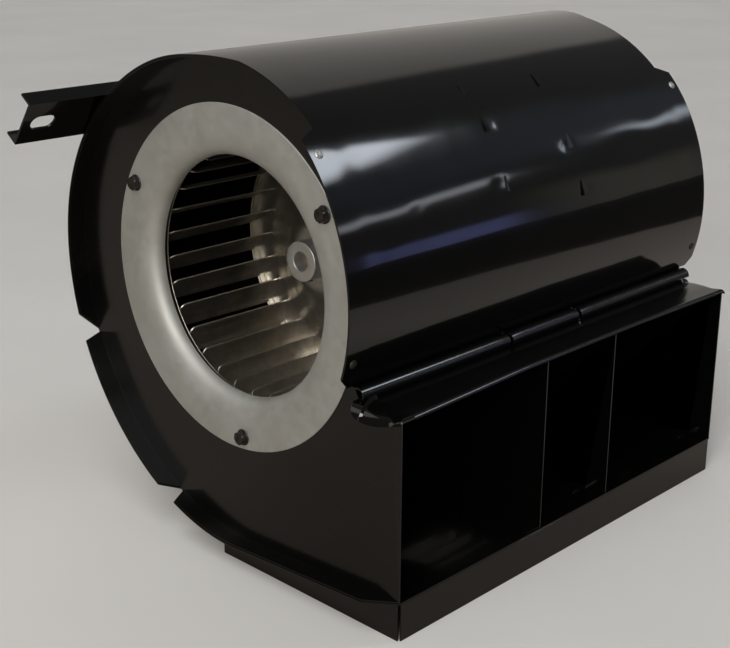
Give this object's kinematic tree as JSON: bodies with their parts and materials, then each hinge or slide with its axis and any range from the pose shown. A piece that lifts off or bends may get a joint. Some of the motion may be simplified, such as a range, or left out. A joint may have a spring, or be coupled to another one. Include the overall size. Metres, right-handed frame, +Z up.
{
  "type": "blower motor wheel",
  "caption": "Twin-inlet centrifugal blower: a scroll housing on a low stand with an inlet ring at each end, a slotted back rail, and squirrel-cage wheels driven by a motor between them.",
  "frame": {"origin": "under the middle of the whole part, on the surface that the stand rests on", "axes": "+X along the shaft, from the left inlet to the right inlet; +Z up; the outlet faces -Y"},
  "size_m": [0.47, 0.2978, 0.3266],
  "materials": {
    "black_paint": "gloss black enamel on thin sheet steel",
    "galvanised": "satin galvanised sheet with a faint spangle",
    "wheel_steel": "bright rolled strip steel, slightly oily",
    "hub_steel": "turned and zinc plated, matt face",
    "screw_steel": "blackened steel",
    "shaft_steel": "ground steel",
    "motor_paint": "satin black enamel",
    "core_steel": "stacked electrical steel",
    "winding_copper": "varnished copper wire",
    "bearing_bronze": "oil-soaked sintered bronze",
    "rubber": "matt moulded rubber"
  },
  "bodies": {
    "housing": {"scroll_wrapper": "black_paint", "left_end_plate": "black_paint", "right_end_plate": "black_paint", "left_divider": "black_paint", "right_divider": "black_paint", "cutoff_strip": "black_paint", "base_stand": "black_paint", "mounting_rail": "black_paint", "rail_rivets": "black_paint", "left_inlet_ring": "galvanised", "right_inlet_ring": "galvanised", "left_plate_rivets": "screw_steel", "right_plate_rivets": "screw_steel", "left_ring_screws": "screw_steel", "right_ring_screws": "screw_steel", "left_motor_mount_screws": "screw_steel", "right_motor_mount_screws": "screw_steel", "motor_through_bolts": "screw_steel", "motor_shell": "motor_paint", "motor_left_end_bell": "motor_paint", "motor_right_end_bell": "motor_paint", "stator_core": "core_steel", "stator_windings": "winding_copper", "left_bearing": "bearing_bronze", "right_bearing": "bearing_bronze", "left_motor_isolators": "rubber", "right_motor_isolators": "rubber"},
    "rotor": {"motor_shaft": "shaft_steel", "rotor_core": "core_steel", "left_thrust_washer": "shaft_steel", "right_thrust_washer": "shaft_steel", "left_wheel_blades": "wheel_steel", "left_wheel_rim": "wheel_steel", "left_wheel_disc": "wheel_steel", "left_wheel_hub": "hub_steel", "left_set_screw": "screw_steel", "right_wheel_blades": "wheel_steel", "right_wheel_rim": "wheel_steel", "right_wheel_disc": "wheel_steel", "right_wheel_hub": "hub_steel", "right_set_screw": "screw_steel"}
  },
  "joints": [
    {"name": "rotor_spin", "type": "hinge", "parent": "housing", "child": "rotor", "pos_m": [0, -0.00466, 0.1899], "axis": [-1, 0, 0], "continuous": true}
  ]
}
